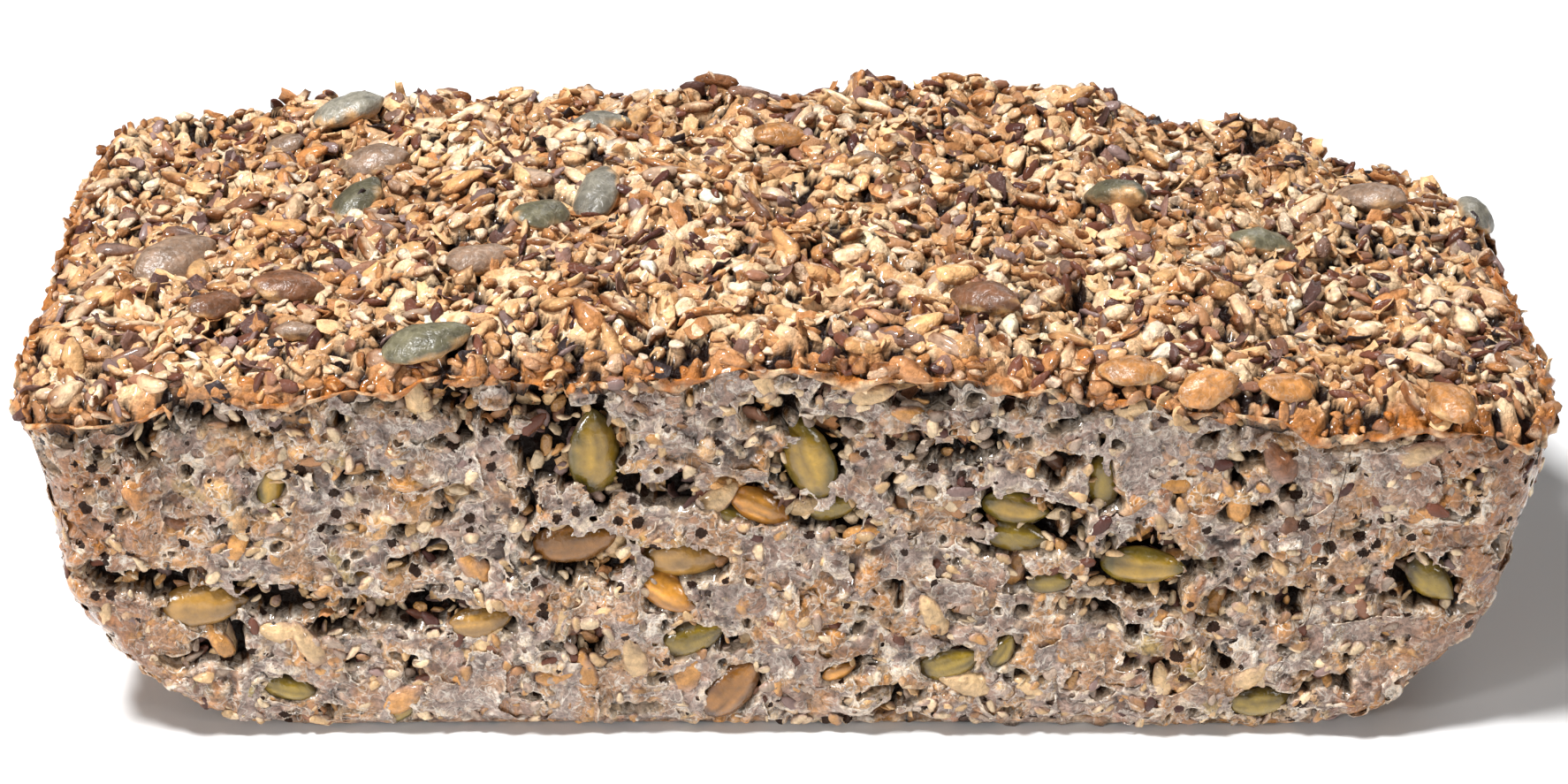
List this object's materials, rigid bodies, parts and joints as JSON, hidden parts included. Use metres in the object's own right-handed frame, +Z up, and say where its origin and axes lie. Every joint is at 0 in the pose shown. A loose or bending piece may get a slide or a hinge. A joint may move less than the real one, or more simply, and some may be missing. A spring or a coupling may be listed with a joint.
{
  "type": "seeded bread",
  "caption": "Whole long loaf of dense seeded bread, tin-baked, with a craggy domed crust, sloping walls, rounded foot ends and pumpkin seeds in torn hollows of its walls.",
  "frame": {"origin": "centre of the loaf's box in plan, on the flat base that it rests on", "axes": "+X along the loaf, towards its right end as seen from the front, -Y out of the front wall, +Z up"},
  "size_m": [0.2342, 0.0998, 0.0768],
  "materials": {
    "crust": "baked crust, rough and craggy"
  },
  "bodies": {
    "root": {"loaf": "crust"}
  },
  "joints": []
}
